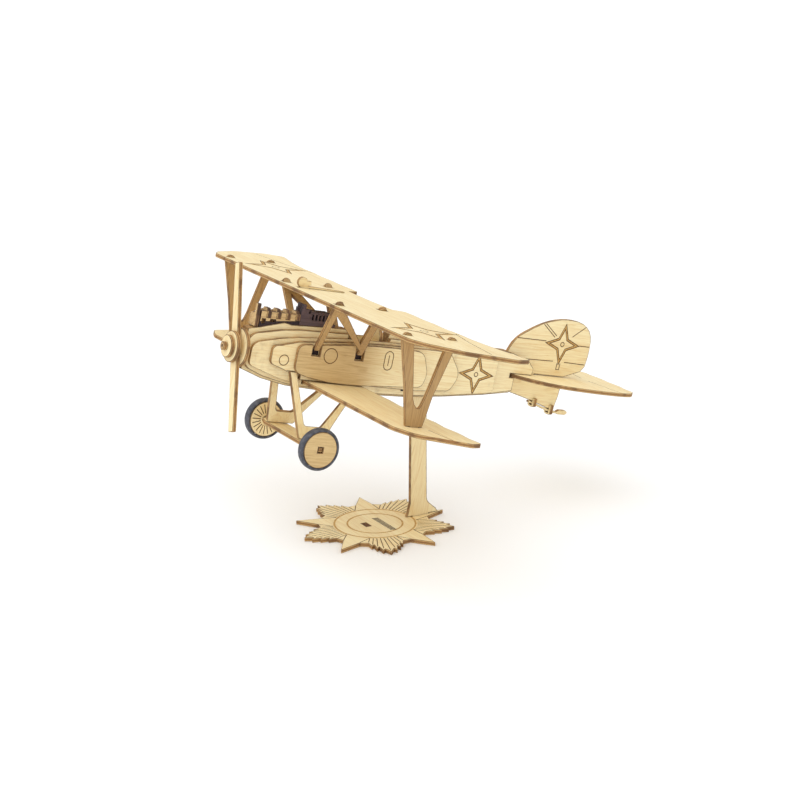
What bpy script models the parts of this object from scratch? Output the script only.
"""Biplane scale model: a laser-cut plywood kit of a V-strut biplane on a star-shaped display stand.

World frame: +X is the aircraft's port side, +Y is aft, +Z is up, and the origin is the middle of the
stand's underside. The aircraft is drawn level in its own frame, in millimetres, with "aft" measured
from the propeller boss and "up" from the thrust line. An empty tips that frame nose-up on the stand.
"""

import math

import bmesh
import bpy
from mathutils import Matrix, Vector

MM = 0.001

# ---------------------------------------------------------------- driving dimensions, millimetres
SHEET = 2.0                     # pitch of the stacked plywood sheets
GLUE_GAP = 0.15                 # clear gap kept between touching pieces
PLY = SHEET - GLUE_GAP          # drawn thickness of one sheet

STAR_TIP_RADIUS = 38.5
STAR_VALLEY_RADIUS = 27.0
STAR_POINTS = 10
STAR_STEPS = 3                  # steps along each side of a fluted point
SLIM_HALF = math.radians(9)     # half the angle that a smooth point takes at its foot
COLUMN_FRONT, COLUMN_REAR = 19.4, 28.7          # distance of the column's edges aft of the star's middle
FOOT_FRONT, FOOT_REAR = 17.2, 35.0

NOSE_FORWARD = 78.0             # propeller boss ahead of the star's middle
NOSE_HEIGHT = 102.0             # propeller boss above the table
NOSE_UP = math.radians(13.4)    # pitch of the aircraft on its stand

WING_TOP = 28.7                 # top face of the upper wing
LOWER_WING_TOP = -10.8
OUTER_STRUT, INNER_STRUT = 86.0, 26.3           # distance of the strut slots from the middle
FRONT_TAB, REAR_TAB = 39.8, 62.6                # strut tabs, aft
TAB_RADIUS = 2.0
AXLE_AFT, AXLE_UP = 43.1, -38.0
WHEEL_TRACK_HALF = 27.4
WHEEL_RADIUS, DISC_RADIUS = 10.0, 8.45
TONGUE = 1.85                   # side of the square axle tongue
PROP_RADIUS = 38.7
PROP_TURN = math.radians(18)    # how far the propeller rests from upright
SHAFT_RADIUS = 1.5
SIDE_LAYERS = 5

WOOD = (0.80, 0.62, 0.38)
WOOD_PALE = (0.88, 0.76, 0.54)
WOOD_DARK = (0.66, 0.47, 0.26)
STAINED = (0.16, 0.10, 0.13)
RUBBER = (0.05, 0.05, 0.06)

SIDE, LEVEL, CROSS = "side", "level", "cross"   # the three ways a sheet stands in the aircraft


# ---------------------------------------------------------------- scene helpers
def clear_scene():
    for ob in list(bpy.data.objects):
        bpy.data.objects.remove(ob, do_unlink=True)
    for block in list(bpy.data.collections):
        bpy.data.collections.remove(block)


clear_scene()
MODEL = bpy.data.collections.new("biplane_scale_model")
CUTTERS = bpy.data.collections.new("cutters")
bpy.context.scene.collection.children.link(MODEL)
bpy.context.scene.collection.children.link(CUTTERS)
MATERIALS = {}


def material(name, colour, roughness):
    """One Principled material, made once per name."""
    if name not in MATERIALS:
        mat = bpy.data.materials.new(name)
        mat.use_nodes = True
        bsdf = mat.node_tree.nodes["Principled BSDF"]
        bsdf.inputs["Base Color"].default_value = (*colour, 1)
        bsdf.inputs["Roughness"].default_value = roughness
        bsdf.inputs["Metallic"].default_value = 0.0
        mat.diffuse_color = (*colour, 1)
        MATERIALS[name] = mat
    return MATERIALS[name]


def empty(name, location, rotation_x=0.0):
    ob = bpy.data.objects.new(name, None)
    ob.location = location
    ob.rotation_euler = (rotation_x, 0, 0)
    MODEL.objects.link(ob)
    return ob


def stow(ob, is_cutter):
    (CUTTERS if is_cutter else MODEL).objects.link(ob)
    if is_cutter:
        ob.hide_render = True
        ob.display_type = "WIRE"


# ---------------------------------------------------------------- outlines
def outline(points, steps=8):
    """Turn corner points (x, y) or rounded corners (x, y, radius) into one closed list."""
    ring = []
    count = len(points)
    for i, point in enumerate(points):
        here = Vector(point[:2])
        if len(point) == 2:
            ring.append(here)
            continue
        before = Vector(points[i - 1][:2]) - here
        after = Vector(points[(i + 1) % count][:2]) - here
        reach = min(point[2] / math.tan(before.angle(after) / 2), before.length * 0.49, after.length * 0.49)
        start, end = here + before.normalized() * reach, here + after.normalized() * reach
        for k in range(steps + 1):
            t = k / steps
            ring.append(start * (1 - t) ** 2 + here * 2 * t * (1 - t) + end * t ** 2)
    return ring


def smooth(points, steps=3):
    """A smooth open run through the points, for the curved stretches of an outline."""
    padded = [points[0]] + list(points) + [points[-1]]
    run = []
    for i in range(1, len(padded) - 2):
        p0, p1, p2, p3 = (Vector(p) for p in padded[i - 1:i + 3])
        for k in range(steps):
            t = k / steps
            run.append(0.5 * (2 * p1 + (p2 - p0) * t + (2 * p0 - 5 * p1 + 4 * p2 - p3) * t ** 2
                              + (3 * p1 - p0 - 3 * p2 + p3) * t ** 3))
    run.append(Vector(points[-1]))
    return [tuple(p) for p in run]


def circle(x, y, radius, steps=24):
    return [(x + radius * math.cos(math.tau * k / steps), y + radius * math.sin(math.tau * k / steps))
            for k in range(steps)]


def box_outline(x0, y0, x1, y1):
    return [(x0, y0), (x1, y0), (x1, y1), (x0, y1)]


# ---------------------------------------------------------------- making solids
def sheet_curve(name, rings, thickness):
    """A flat filled 2D curve: the first ring is the outline, the others are holes."""
    data = bpy.data.curves.new(name, "CURVE")
    data.dimensions = "2D"
    data.fill_mode = "BOTH"
    data.extrude = thickness / 2 * MM
    for ring in rings:
        spline = data.splines.new("POLY")
        spline.points.add(len(ring) - 1)
        for point, (x, y) in zip(spline.points, ring):
            point.co = (x * MM, y * MM, 0, 1)
        spline.use_cyclic_u = True
    return data


def stand_up(ob, way, offset):
    """Put a flat curve in the aircraft's frame: side sheets face X, level sheets Z, cross sheets Y."""
    if way == SIDE:
        ob.rotation_euler = (math.pi / 2, 0, math.pi / 2)
        ob.location = (offset * MM, 0, 0)
    elif way == LEVEL:
        ob.location = (0, 0, offset * MM)
    else:
        ob.rotation_euler = (math.pi / 2, 0, 0)
        ob.location = (0, offset * MM, 0)


def solid_from_curve(name, data):
    """Evaluate a curve into a closed mesh object, for booleans."""
    holder = bpy.data.objects.new(name + "_curve", data)
    bpy.context.scene.collection.objects.link(holder)
    bpy.context.view_layer.update()
    mesh = bpy.data.meshes.new_from_object(holder.evaluated_get(bpy.context.evaluated_depsgraph_get()))
    bpy.data.objects.remove(holder, do_unlink=True)
    bm = bmesh.new()
    bm.from_mesh(mesh)
    bmesh.ops.remove_doubles(bm, verts=bm.verts, dist=1e-7)
    bmesh.ops.recalc_face_normals(bm, faces=bm.faces)
    bm.to_mesh(mesh)
    bm.free()
    return bpy.data.objects.new(name, mesh)


def sheet(name, rings, way, offset, parent, mat=None, thickness=PLY):
    """One laser-cut sheet, its middle plane at offset."""
    ob = solid_from_curve(name, sheet_curve(name, rings, thickness))
    stow(ob, False)
    stand_up(ob, way, offset)
    ob.parent = parent
    ob.data.materials.append(mat or material("plywood", WOOD, 0.6))
    return ob


def block(name, low, high, parent, mat=None, is_cutter=False):
    """A box between two corners, in the parent's frame."""
    bm = bmesh.new()
    bmesh.ops.create_cube(bm, size=1.0)
    size = Vector(high) - Vector(low)
    middle = (Vector(high) + Vector(low)) / 2
    bmesh.ops.transform(bm, matrix=Matrix.Diagonal((*(size * MM), 1)), verts=bm.verts)
    mesh = bpy.data.meshes.new(name)
    bm.to_mesh(mesh)
    bm.free()
    ob = bpy.data.objects.new(name, mesh)
    ob.location = middle * MM
    ob.parent = parent
    stow(ob, is_cutter)
    if mat:
        mesh.materials.append(mat)
    return ob


def cut(ob, cutter):
    """Take the cutter out of the object with an exact boolean, and apply it."""
    bpy.context.view_layer.update()
    mod = ob.modifiers.new("cut", "BOOLEAN")
    mod.operation = "DIFFERENCE"
    mod.solver = "EXACT"
    mod.object = cutter
    depsgraph = bpy.context.evaluated_depsgraph_get()
    mesh = bpy.data.meshes.new_from_object(ob.evaluated_get(depsgraph))
    ob.modifiers.clear()
    bm = bmesh.new()
    bm.from_mesh(mesh)
    bmesh.ops.remove_doubles(bm, verts=bm.verts, dist=1e-7)
    bm.to_mesh(mesh)
    bm.free()
    ob.data = mesh


# ---------------------------------------------------------------- frames
STAND = empty("stand_frame", (0, 0, 0))
AIRCRAFT = empty("aircraft_frame", (0, -NOSE_FORWARD * MM, NOSE_HEIGHT * MM), -NOSE_UP)
PROP_FRAME = empty("propeller_frame", (0, 0, 0))
PROP_FRAME.parent = AIRCRAFT


def from_stand(y, z):
    """A point of the stand's middle plane (aft, up from the table) in the aircraft's own frame."""
    dy, dz = y + NOSE_FORWARD, z - NOSE_HEIGHT
    return (dy * math.cos(NOSE_UP) - dz * math.sin(NOSE_UP), dy * math.sin(NOSE_UP) + dz * math.cos(NOSE_UP))


# ---------------------------------------------------------------- stand
COLUMN_TAB_TOP = 68.8           # top of the tab that stands inside the fuselage
COLUMN_TAB_FRONT, COLUMN_TAB_REAR = 20.6, 27.6
BELLY = ((120.0, -13.2), (99.0, -15.1))         # the stretch of belly that the column meets


def belly_height(y):
    """Height above the table of the belly, at a distance aft of the star's middle."""
    (rear, rear_up), (front, front_up) = BELLY
    slope = (rear_up - front_up) / (rear - front)
    c, s = math.cos(NOSE_UP), math.sin(NOSE_UP)
    dy = y + NOSE_FORWARD
    return NOSE_HEIGHT + (front_up - slope * front + dy * (slope * c - s)) / (c + slope * s)


def star_outline():
    """Ten long points: five slim smooth ones and, between them, five broad ones with stepped sides."""
    ring = []
    for i in range(STAR_POINTS):
        angle = math.tau * i / STAR_POINTS
        half = math.pi / STAR_POINTS
        valley = (STAR_VALLEY_RADIUS, angle - half)
        side = [valley]
        if not i % 2:
            side.append((STAR_VALLEY_RADIUS + 0.3, angle - SLIM_HALF))
        if i % 2:
            for k in range(1, STAR_STEPS + 1):
                share = k / (STAR_STEPS + 1)
                reach = STAR_VALLEY_RADIUS + (STAR_TIP_RADIUS - STAR_VALLEY_RADIUS) * share
                spread = half * (1 - share)
                side += [(reach + 0.7, angle - spread - 0.015), (reach - 0.9, angle - spread + 0.02)]
        tip = (STAR_TIP_RADIUS, angle)
        mirrored = [(r, 2 * angle - a) for r, a in reversed(side[1:])]
        ring += side + [tip] + mirrored
    return [(r * math.sin(a), r * math.cos(a)) for r, a in ring]


def build_stand():
    slot = box_outline(-PLY / 2 - 0.15, FOOT_FRONT + 3.0, PLY / 2 + 0.15, FOOT_REAR - 5.0)
    sheet("stand_base", [star_outline(), slot], LEVEL, SHEET / 2, STAND, thickness=SHEET)
    foot = SHEET + GLUE_GAP
    front, rear = belly_height(COLUMN_FRONT) - 0.3, belly_height(COLUMN_REAR) - 0.3
    column = outline([
        (FOOT_FRONT + 3.2, 0.3), (FOOT_REAR - 5.2, 0.3), (FOOT_REAR - 5.2, foot), (FOOT_REAR, foot),
        (FOOT_REAR - 1.2, foot + 2.0, 1.0), (COLUMN_REAR, foot + 6.5, 5.0), (COLUMN_REAR - 0.3, rear),
        (COLUMN_TAB_REAR, rear), (COLUMN_TAB_REAR, COLUMN_TAB_TOP), (COLUMN_TAB_FRONT, COLUMN_TAB_TOP),
        (COLUMN_TAB_FRONT, front), (COLUMN_FRONT + 0.3, front), (COLUMN_FRONT, foot + 7.0, 4.0),
        (FOOT_FRONT + 0.8, foot + 1.5, 1.0), (FOOT_FRONT, foot), (FOOT_FRONT + 3.2, foot)])
    sheet("stand_column", [column], SIDE, 0, STAND)


# ---------------------------------------------------------------- fuselage
NOSE = 9.15                     # front edge of the two inner layers
TAIL_SLOT = (0.0, 2.15)         # lower and upper edge of the slot for the tailplane
TAILPLANE_UP = 1.05
COCKPIT_FRONT, COCKPIT_REAR, COCKPIT_FLOOR = 61.5, 82.0, 4.5
WING_SLOT = box_outline(39.3, LOWER_WING_TOP - PLY - 0.15, 71.4, LOWER_WING_TOP + 0.15)


def layer_place(layer):
    """Middle plane of a side layer, 0 being the core."""
    return layer * SHEET


def cockpit(top):
    return [(COCKPIT_FRONT - 1, top), (COCKPIT_FRONT, COCKPIT_FLOOR), (COCKPIT_REAR, COCKPIT_FLOOR),
            (COCKPIT_REAR + 1.5, top)]


def tail_end(bottom_rear):
    """The rounded tail of the inner layers, open behind for the tailplane."""
    return [(155, 12.2), (165.5, 9.0, 3.0), (169, 5.5, 2.0), (168.6, TAIL_SLOT[1]), (155.6, TAIL_SLOT[1]),
            (155.6, TAIL_SLOT[0]), (158.5, TAIL_SLOT[0]), (158.5, bottom_rear)]


def layer_1():
    return outline([(NOSE, -9.2), (NOSE, 9.8), (15, 10.9), (22, 12.8), (27, 14.1, 3), (31, 13.3), (52, 14.2)]
                   + cockpit(14.3) + tail_end(-7.9)
                   + [(143, -10.4), *BELLY, (72, -15.9), (50, -15.8), (33, -15.0), (20, -12.7)])


def layer_2():
    return outline([(NOSE, -7.6, 6), (NOSE, 7.6, 6), (25.6, 10.9), (34.3, 11.8)]
                   + cockpit(12.5) + tail_end(-6.5)
                   + [(143, -9.6), (120, -12.2), (99, -14.1), (72, -15.0), (50, -14.9), (33, -13.9), (20, -11.4)])


def layer_3():
    return outline([(10.7, -6.3, 5), (10.7, 4.2, 5), (18.9, 6.0), (25.3, 7.4), (34, 8.6), (60, 10.4), (82, 10.9),
                    (120, 10.6), (146, 10.0, 2), (146, -8.0, 2), (120, -11.3), (99, -13.2), (72, -14.2),
                    (45, -14.1), (28, -11.4), (22.3, -9.8), (15.1, -7.6)])


def layer_4():
    return outline([(20.2, -4.4, 3), (20.2, 4.0, 4), (24.8, 4.7), (33.3, 7.0), (60, 9.3), (82, 10.0),
                    (116, 10.0, 5), (124, -0.6, 9), (119.5, -9.0, 4), (100, -10.5), (36.9, -10.5), (36.9, -6.9),
                    (29.6, -6.9), (29.6, -7.3), (26.2, -6.1)])


def cabane_notch(x, top_front, top_rear):
    return [(x - 2.2, top_front), (x - 2.2, 1.6), (x + 2.2, 1.6), (x + 2.2, top_rear)]


def layer_5():
    return outline([(32.2, -7.0, 5), (32.2, 6.2, 4)] + cabane_notch(41.8, 6.7, 7.0) + cabane_notch(64.9, 8.8, 9.0)
                   + [(82, 9.3), (100, 9.0, 6), (103.8, -1.0, 8), (102.5, -8.4, 5), (92, -8.9), (66, -10.45),
                      (52, -10.3), (39.9, -8.8, 3)])


def core_outline():
    """The middle sheet. The stand's tab stands in its notch, and the tail fin follows behind it."""
    rear, front, top = COLUMN_TAB_REAR + 0.3, COLUMN_TAB_FRONT - 0.3, COLUMN_TAB_TOP + 0.3
    notch = [from_stand(rear, belly_height(rear)), from_stand(rear, top), from_stand(front, top),
             from_stand(front, belly_height(front))]
    return outline([(NOSE, -9.2), (NOSE, 9.8), (15, 10.9), (22, 12.8), (27, 14.1, 3), (31, 13.3), (52, 14.2)]
                   + cockpit(14.3) + [(149.85, 12.3), (149.85, -9.2), BELLY[0]] + notch
                   + [BELLY[1], (72, -15.9), (50, -15.8), (33, -15.0), (20, -12.7)])


SHAFT_FRONT, SHAFT_END = 1.1, 26.0
BEARING_HALF_HEIGHT = 4.5


def shaft_chamber(name):
    """Room inside the nose for the propeller shaft, its collar and its two bearing plates."""
    return block(name, (-3.0, NOSE - 1, -BEARING_HALF_HEIGHT - 0.15), (3.0, SHAFT_END + 1, BEARING_HALF_HEIGHT + 0.15),
                 AIRCRAFT, is_cutter=True)


def build_fuselage():
    chamber = shaft_chamber("shaft_chamber")
    core = sheet("fuselage_core", [core_outline(), WING_SLOT], SIDE, 0, AIRCRAFT)
    cut(core, chamber)
    outlines = [layer_1(), layer_2(), layer_3(), layer_4(), layer_5()]
    for number in range(1, SIDE_LAYERS + 1):
        rings = [outlines[number - 1]] + ([WING_SLOT] if number <= 3 else [])
        for side, sign in (("port", 1), ("starboard", -1)):
            name = f"fuselage_layer{number}_{side}"
            ob = sheet(name, rings, SIDE, sign * layer_place(number), AIRCRAFT)
            if number == 1:
                cut(ob, chamber)


def build_nose_bearings():
    """Two plates inside the nose, each with a round hole that the shaft turns in."""
    plate = box_outline(-2.85, -BEARING_HALF_HEIGHT, 2.85, BEARING_HALF_HEIGHT)
    for name, aft in (("nose_bearing_front", NOSE + 1.3), ("nose_bearing_rear", NOSE + 10.0)):
        sheet(name, [plate, circle(0, 0, SHAFT_RADIUS + 0.2)], CROSS, aft, AIRCRAFT)


# ---------------------------------------------------------------- propeller and its shaft
def blade_outline():
    """Both blades as one flat strip, broadest at the boss, at the angle where the propeller rests."""
    tip = (PROP_RADIUS, 2.0, 0.8)
    half = [(0, 3.0), tip, (tip[0], -tip[1], tip[2])]
    strip = outline(half + [(-x, -y, *radius) for x, y, *radius in half])
    s, c = math.sin(PROP_TURN), math.cos(PROP_TURN)
    return dedupe([(-x * s + y * c, x * c + y * s) for x, y in strip])


def dedupe(ring, least=0.02):
    kept = []
    for point in ring:
        if not kept or (Vector(point) - Vector(kept[-1])).length > least:
            kept.append(point)
    if (Vector(kept[0]) - Vector(kept[-1])).length <= least:
        kept.pop()
    return kept


def turned(name, profile, axis, parent, mat, steps=36):
    """A solid of revolution: an open or closed profile of (along, radius) points and a screw modifier."""
    data = bpy.data.meshes.new(name)
    bm = bmesh.new()
    verts = [bm.verts.new((x * MM, 0, r * MM) if axis == "X" else (r * MM, x * MM, 0)) for x, r in profile]
    closed = profile[0][1] > 0
    for a, b in zip(verts, verts[1:] + verts[:1] * closed):
        bm.edges.new((a, b))
    bm.to_mesh(data)
    bm.free()
    ob = bpy.data.objects.new(name, data)
    stow(ob, False)
    ob.parent = parent
    screw = ob.modifiers.new("turn", "SCREW")
    screw.axis = axis
    screw.angle = math.tau
    screw.steps = screw.render_steps = steps
    screw.use_merge_vertices = True
    screw.merge_threshold = 1e-6
    screw.use_normal_calculate = True
    data.materials.append(mat)
    return ob


def turned_disc(name, front, radius, hole, mat=None, edge=0.12):
    """A disc on the thrust line with eased rims."""
    back = front + PLY
    profile = [(front, hole), (front, radius - edge), (front + edge, radius), (back - edge, radius),
               (back, radius - edge), (back, hole)]
    return turned(name, profile, "Y", PROP_FRAME, mat or material("plywood", WOOD, 0.6))


def build_propeller():
    clear = SHAFT_RADIUS + GLUE_GAP
    dowel = material("dowel", WOOD_PALE, 0.55)
    rod = bpy.data.meshes.new("propeller_shaft")
    bm = bmesh.new()
    bmesh.ops.create_cone(bm, cap_ends=True, segments=32, radius1=SHAFT_RADIUS * MM, radius2=SHAFT_RADIUS * MM,
                          depth=(SHAFT_END - SHAFT_FRONT) * MM, matrix=Matrix.Rotation(math.pi / 2, 4, "X"))
    bm.to_mesh(rod)
    bm.free()
    shaft = bpy.data.objects.new("propeller_shaft", rod)
    shaft.location = (0, (SHAFT_END + SHAFT_FRONT) / 2 * MM, 0)
    shaft.parent = PROP_FRAME
    stow(shaft, False)
    rod.materials.append(dowel)
    turned_disc("spinner_button", -0.9, 1.95, 0)
    turned_disc("spinner_disc_front", 1.1, 5.2, clear)
    turned_disc("spinner_disc_middle", 3.1, 7.2, clear)
    sheet("propeller", [blade_outline(), circle(0, 0, clear)], CROSS, 6.03, PROP_FRAME)
    turned_disc("spinner_disc_back", 7.1, 9.0, clear)
    turned_disc("shaft_collar", NOSE + 5.0, 2.75, clear, dowel)


# ---------------------------------------------------------------- engine, guns and cockpit
RAIL_PLACE = SHEET              # the rails and the guns stand on the first side layers
RIB_PLACES = [18.2, 23.3, 28.2, 33.2]
RIB_SLOT = 1.1                  # half the width of the slots that hold the ribs


def build_engine():
    """Two castellated rails joined by cross plates, which stand for the heads of an inline engine."""
    dark = material("plywood_dark", WOOD_DARK, 0.65)
    top, seat, front, rear = 18.4, 15.5, 14.2, 34.2
    last = RIB_PLACES[-1] - RIB_SLOT
    ring = [(front, top), (front, 10.9), (15, 11.05), (22, 12.95), (27, 14.25), (31, 13.45), (rear, 13.6),
            (rear, seat), (last, seat), (last, top)]
    for rib in reversed(RIB_PLACES[:-1]):
        ring += [(rib + RIB_SLOT, top), (rib + RIB_SLOT, seat), (rib - RIB_SLOT, seat), (rib - RIB_SLOT, top)]
    windows = [box_outline(15.0, 12.4, 17.0, 14.9), box_outline(19.3, 13.6, 22.3, 15.0)]
    for side, sign in (("port", 1), ("starboard", -1)):
        sheet(f"engine_rail_{side}", [ring] + windows, SIDE, sign * RAIL_PLACE, AIRCRAFT, dark)
    for number, aft in enumerate(RIB_PLACES, 1):
        rib = outline([(-3.7, 15.65), (3.7, 15.65), (3.7, 18.6), (2.4, 18.6), (1.7, 19.8, 0.5), (-1.7, 19.8, 0.5),
                       (-2.4, 18.6), (-3.7, 18.6)])
        sheet(f"engine_rib_{number}", [rib], CROSS, aft, AIRCRAFT, dark)
    plate = outline([(-3.2, 10.9), (3.2, 10.9), (3.2, 16.0), (2.9, 16.0), (2.9, 21.5, 0.5), (1.1, 21.5, 0.5),
                     (1.1, 17.0), (-2.4, 17.0, 0.8), (-2.4, 16.0), (-3.2, 16.0)])
    sheet("engine_front_plate", [plate], CROSS, 12.6, AIRCRAFT, dark)


def gun_outline():
    base, receiver, jacket, sight = 34.5, 21.4, 20.6, 23.4
    return outline([(base, 13.65), (53.6, 14.42), (53.6, 15.6), (50.6, 15.6), (50.6, jacket, 0.8),
                    (39.4, jacket, 0.8), (39.4, 19.4), (38.6, 19.4), (38.6, receiver), (36.7, receiver),
                    (36.7, sight, 0.3), (35.1, sight, 0.3), (35.1, receiver), (base, receiver)])


def build_guns():
    slits = [box_outline(40.6 + 1.9 * k, 16.6, 41.5 + 1.9 * k, 19.2) for k in range(5)]
    for side, sign in (("port", 1), ("starboard", -1)):
        sheet(f"gun_{side}", [gun_outline()] + slits, SIDE, sign * RAIL_PLACE, AIRCRAFT,
              material("engraved_dark", STAINED, 0.7))
    bridge = outline([(38.5, 13.85), (46.0, 14.15), (46.0, 18.0, 0.6), (38.5, 18.0, 0.6)])
    sheet("gun_bridge", [bridge], SIDE, 0, AIRCRAFT, material("plywood_dark", WOOD_DARK, 0.65))


def build_cockpit():
    panel = outline([(-4.8, COCKPIT_FLOOR + 0.2), (4.8, COCKPIT_FLOOR + 0.2), (4.8, 11.5), (3.0, 14.8, 1.5),
                     (-3.0, 14.8, 1.5), (-4.8, 11.5)])
    sheet("instrument_panel", [panel], CROSS, COCKPIT_FRONT + 1.6, AIRCRAFT)
    sheet("pilot_seat", [outline([(-4.6, 69, 1), (4.6, 69, 1), (4.6, 77.4), (-4.6, 77.4)])], LEVEL,
          COCKPIT_FLOOR + 1.2, AIRCRAFT)
    back = outline([(-4.6, COCKPIT_FLOOR + 0.2), (4.6, COCKPIT_FLOOR + 0.2), (4.6, 13.0, 2), (2.0, 16.4, 2),
                    (-2.0, 16.4, 2), (-4.6, 13.0, 2)])
    sheet("pilot_seat_back", [back], CROSS, 78.6, AIRCRAFT)
    rest = outline([(84.4, 14.55), (92.5, 14.1), (91.0, 15.2, 1), (86.5, 17.8, 1.5), (84.4, 17.6, 0.8)])
    sheet("headrest", [rest], SIDE, 0, AIRCRAFT, material("plywood_dark", WOOD_DARK, 0.65), thickness=5.5)


# ---------------------------------------------------------------- wings
def mirrored(half):
    """A half outline from the middle's front round to the middle's rear, and its mirror image."""
    return half + [(-x, y) for x, y in reversed(half)]


def rounded_half(points, steps=8):
    """Half an outline whose first and last points lie near the middle and stay sharp."""
    return [tuple(p) for p in outline(points, steps)]


def upper_wing_half():
    return rounded_half([(2.0, 35.5), (94.5, 35.5, 7), (102, 40.5, 8), (111.5, 54, 12), (117.5, 76, 4), (114.5, 85, 2),
                         (104, 82.5, 6), (97, 80.5, 8), (88, 79, 6), (78, 77.8, 6), (68, 78.2, 6), (58, 77, 5), (48, 77.6, 5),
                         (38, 76.8, 5), (30, 77.4, 4), (22.5, 77.2, 1), (20.5, 71, 2), (2.0, 70.4)])


def lower_wing_half():
    return rounded_half([(2.0, 40.0), (88, 40.0, 12), (99.5, 45, 10), (110, 68, 4), (108, 74, 2), (100, 72.4, 5),
                         (91, 72.8, 5), (82, 71.2, 5), (73, 72.0, 5), (64, 70.7, 5), (54, 71.5, 5), (44, 70.4, 5),
                         (34, 71.2, 5), (24, 70.6, 4), (2.0, 70.6)])


def tab_slot(x, aft):
    return box_outline(x - PLY / 2 - 0.15, aft - TAB_RADIUS - 0.15, x + PLY / 2 + 0.15, aft + TAB_RADIUS + 0.15)


SPLAY_FOOT, SPLAY_TOP = (10.1, 4.6), (INNER_STRUT, WING_TOP)
SPLAY = math.atan2(SPLAY_TOP[0] - SPLAY_FOOT[0], SPLAY_TOP[1] - SPLAY_FOOT[1])
GEAR_FOOT, GEAR_TOP = (16.0, AXLE_UP + 1.1), (8.1, -7.4)
GEAR_LEAN = math.atan2(GEAR_FOOT[0] - GEAR_TOP[0], GEAR_TOP[1] - GEAR_FOOT[1])


def leaning_sheet(name, rings, foot, lean, sign):
    """A side sheet drawn from its foot upwards, leaning outward by an angle from upright."""
    ob = sheet(name, rings, SIDE, 0, AIRCRAFT)
    ob.rotation_euler = (Matrix.Rotation(sign * lean, 4, "Y")
                         @ Matrix.Rotation(math.pi / 2, 4, "Z") @ Matrix.Rotation(math.pi / 2, 4, "X")).to_euler()
    ob.location = (sign * foot[0] * MM, 0, foot[1] * MM)


def splay_reach(height, foot, lean):
    return (height - foot[1]) / math.cos(lean)


def cabane_slot(sign, aft):
    """A straight slot in the upper wing, wide enough for a tab that passes through it at a lean."""
    middle = SPLAY_TOP[0] - PLY / 2 * math.tan(SPLAY)
    half = PLY / 2 * (math.tan(SPLAY) + 1 / math.cos(SPLAY)) + GLUE_GAP
    x0, x1 = sorted((sign * (middle - half), sign * (middle + half)))
    return box_outline(x0, aft - TAB_RADIUS - GLUE_GAP, x1, aft + TAB_RADIUS + GLUE_GAP)


HEADER_PLACE = -13.0            # the header plate stands over the starboard side of the centre section


def build_wings():
    upper = [mirrored(upper_wing_half())]
    upper += [tab_slot(sign * OUTER_STRUT, aft) for sign in (1, -1) for aft in (FRONT_TAB, REAR_TAB)]
    upper.append(box_outline(HEADER_PLACE - PLY / 2 - 0.15, 38.85, HEADER_PLACE + PLY / 2 + 0.15, 44.75))
    upper += [cabane_slot(sign, aft) for sign in (1, -1) for aft in (FRONT_TAB, REAR_TAB)]
    sheet("upper_wing", upper, LEVEL, WING_TOP - PLY / 2, AIRCRAFT, material("plywood_pale", WOOD_PALE, 0.6))
    lower = [mirrored(lower_wing_half())]
    lower += [box_outline(s * OUTER_STRUT - PLY / 2 - 0.15, 49.35, s * OUTER_STRUT + PLY / 2 + 0.15, 54.45)
              for s in (1, -1)]
    sheet("lower_wing", lower, LEVEL, LOWER_WING_TOP - PLY / 2, AIRCRAFT, material("plywood_pale", WOOD_PALE, 0.6))
    disc = [(41.0 + 2.5 * math.cos(t), 31.3 + 2.5 * math.sin(t))
            for t in (math.radians(250 - 15 * k) for k in range(15))]
    on_wing = WING_TOP + GLUE_GAP
    plate = disc + [(43.2, 32.2), (45.3, 32.2), (45.3, 30.4), (43.6, 29.8), (64.0, 29.2), (64.0, on_wing),
                    (44.6, on_wing), (44.6, 27.0), (39.0, 27.0), (39.0, on_wing)]
    sheet("wing_header_plate", [plate], SIDE, HEADER_PLACE, AIRCRAFT)


# ---------------------------------------------------------------- struts
def half_round_tab(aft, low, top):
    """A tab whose top is a half round, from its right side to its left."""
    centre = top - TAB_RADIUS * 0.75
    arc = [(aft + TAB_RADIUS * math.cos(t), centre + TAB_RADIUS * 0.75 * math.sin(t))
           for t in (math.pi * k / 8 for k in range(9))]
    return [(aft + TAB_RADIUS, low)] + arc + [(aft - TAB_RADIUS, low)]


def build_interplane_struts():
    under = WING_TOP - SHEET
    over = LOWER_WING_TOP + GLUE_GAP
    ring = [(50.0 - 0.5, over), (50.0 - 0.5, over - 3.0), (54.3, over - 3.0), (54.3, over), (56.0, over),
            (56.9, -5.7), (58.2, 2.9), (64.9, under)]
    ring += half_round_tab(REAR_TAB, under, WING_TOP + 1.2)
    ring += [(60.2, under), (54.6, 2.5), (53.4, -1.2), (52.6, -2.4), (51.4, -2.4), (50.0, -1.0), (48.6, 1.6),
             (43.2, under)]
    ring += half_round_tab(FRONT_TAB, under, WING_TOP + 1.2)
    ring += [(37.2, under), (43.2, 7.0), (47.6, over)]
    for side, sign in (("port", 1), ("starboard", -1)):
        sheet(f"interplane_strut_{side}", [dedupe(ring)], SIDE, sign * OUTER_STRUT, AIRCRAFT)


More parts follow.
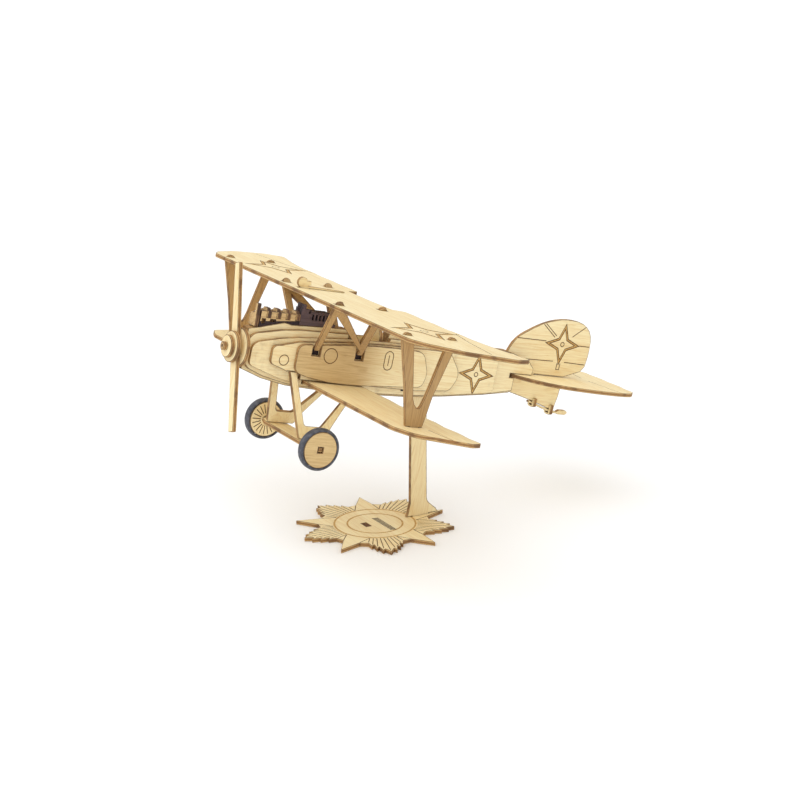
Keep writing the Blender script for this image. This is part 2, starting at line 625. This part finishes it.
def build_cabane_struts():
    """N-shaped plates that splay outward from the side layers to the upper wing."""
    top = splay_reach(WING_TOP - SHEET, SPLAY_FOOT, SPLAY) - PLY / 2 * math.tan(SPLAY) - 0.05
    peak = splay_reach(WING_TOP + 1.3, SPLAY_FOOT, SPLAY)
    ring = [(40.4, 0.0), (43.1, 0.0), (41.4, top - 3.4), (63.5, 2.4), (63.5, 0.0), (66.2, 0.0), (64.6, top)]
    ring += half_round_tab(REAR_TAB, top, peak)
    ring += [(60.6, top), (61.8, 7.0), (44.2, top)]
    ring += half_round_tab(FRONT_TAB, top, peak)
    ring += [(37.8, top)]
    for side, sign in (("port", 1), ("starboard", -1)):
        leaning_sheet(f"cabane_strut_{side}", [dedupe(ring)], SPLAY_FOOT, SPLAY, sign)


def build_landing_gear():
    reach = splay_reach(GEAR_TOP[1], GEAR_FOOT, GEAR_LEAN)
    wing_reach = splay_reach(LOWER_WING_TOP - SHEET, GEAR_FOOT, GEAR_LEAN) - PLY / 2 * math.tan(GEAR_LEAN) - 0.1
    ring = outline([(38.0, 0.35, 1), (52.0, 0.35, 1), (54.7, 6.4), (62.6, 18.3), (66.8, wing_reach),
                    (64.4, wing_reach), (59.2, 18.3), (49.4, 6.4, 2), (40.4, 6.4, 2), (34.8, reach),
                    (31.3, reach)])
    for side, sign in (("port", 1), ("starboard", -1)):
        leaning_sheet(f"gear_strut_{side}", [ring], GEAR_FOOT, -GEAR_LEAN, sign)
    half, shoulder, end, front, rear = 18.4, 24.9, 29.0, 38.4, 49.4
    low, high = AXLE_AFT - TONGUE / 2, AXLE_AFT + TONGUE / 2
    quarter = [(half, front), (shoulder, 40.8), (shoulder, low), (end, low), (end, high), (shoulder, high),
               (shoulder, 46.0), (half, rear)]
    plate = mirrored(quarter)
    sheet("axle_fairing", [plate], LEVEL, AXLE_UP, AIRCRAFT, thickness=TONGUE)


def build_wheels():
    """Each wheel is two plywood discs and a rubber tyre, free to turn on the fairing's square tongue."""
    for side, sign in (("port", 1), ("starboard", -1)):
        hub = empty(f"wheel_frame_{side}", (sign * WHEEL_TRACK_HALF * MM, AXLE_AFT * MM, AXLE_UP * MM))
        hub.parent = AIRCRAFT
        square = [(-1.42, -1.42), (1.42, -1.42), (1.42, 1.42), (-1.42, 1.42)]
        rim = circle(0, 0, DISC_RADIUS, 40)
        sheet(f"wheel_inner_disc_{side}", [rim, circle(0, 0, 1.6, 16)], SIDE, -sign * SHEET / 2, hub)
        sheet(f"wheel_cover_disc_{side}", [rim, square], SIDE, sign * SHEET / 2, hub)
        inner = DISC_RADIUS + GLUE_GAP
        profile = [(-1.8, inner), (-2.1, inner + 0.5), (-1.9, WHEEL_RADIUS - 0.7), (-1.2, WHEEL_RADIUS - 0.1),
                   (0, WHEEL_RADIUS), (1.2, WHEEL_RADIUS - 0.1), (1.9, WHEEL_RADIUS - 0.7), (2.1, inner + 0.5),
                   (1.8, inner)]
        turned(f"tyre_{side}", profile, "X", hub, material("rubber", RUBBER, 0.75), 40)


# ---------------------------------------------------------------- tail
CROSSING = 173.0                # where the fin's slot and the tailplane's slot meet


def build_tail():
    top = smooth([(154.2, 12.4), (156.3, 17.0), (160.0, 21.0), (164.6, 24.0), (170, 27.0), (176, 29.5),
                  (183, 31.1), (190, 31.4), (196.5, 30.2), (201.3, 26.8), (203.4, 21.5), (203.6, 14.0)], 2)
    fin = [(150.0, -9.2), (150.0, 12.3)] + top
    fin += [(202.9, 8.6), (200.8, 5.9), (197.5, 4.7), (191.0, 2.3), (CROSSING, 2.3), (CROSSING, -0.2), (191.0, -0.2),
            (190.4, -8.0), (189.4, -13.2), (187.8, -15.0), (173.7, -11.0), (159.4, -7.8)]
    sheet("fin_rudder", [dedupe(fin)], SIDE, 0, AIRCRAFT)
    edge = smooth([(2.2, 156.5), (8.5, 159.0), (16, 165.2), (21.8, 173.5), (24.8, 184), (26.4, 196), (26.6, 208),
                   (25.0, 216.5), (20.5, 221.0)], 2)
    half = [(PLY / 2 + 0.15, CROSSING + 0.3), (PLY / 2 + 0.15, 156.2)] + edge
    half += [(14.5, 220.6), (8.5, 221.8), (2.0, 221.2)]
    sheet("tailplane", [mirrored(half)], LEVEL, TAILPLANE_UP, AIRCRAFT, material("plywood_pale", WOOD_PALE, 0.6))
    skid = outline([(173.2, -11.15), (187.8, -15.2), (191.6, -15.7), (193.0, -14.7, 0.8), (197.0, -14.6, 1.2),
                    (198.6, -15.8, 0.8), (197.0, -16.95, 1.2), (192.8, -16.95, 0.8), (191.4, -16.6),
                    (187.4, -16.3), (173.0, -12.2)])
    sheet("tail_skid", [skid], SIDE, 0, AIRCRAFT, material("plywood_dark", WOOD_DARK, 0.65))
    for name, aft, ears, web in (("skid_clamp_front", 176.2, -9.8, -13.5), ("skid_clamp_rear", 187.2, -12.4, -16.55)):
        inner, outer = PLY / 2 + 0.15, 2.6
        clamp = outline([(-outer, web - 0.3, 0.5), (-outer, ears), (-inner, ears), (-inner, web), (inner, web),
                         (inner, ears), (outer, ears), (outer, web - 0.3, 0.5), (inner, web - 0.9, 0.5),
                         (-inner, web - 0.9, 0.5)])
        sheet(name, [clamp], CROSS, aft, AIRCRAFT)


build_stand()
build_fuselage()
build_nose_bearings()
build_propeller()
build_engine()
build_guns()
build_cockpit()
build_wings()
build_interplane_struts()
build_cabane_struts()
build_landing_gear()
build_wheels()
build_tail()
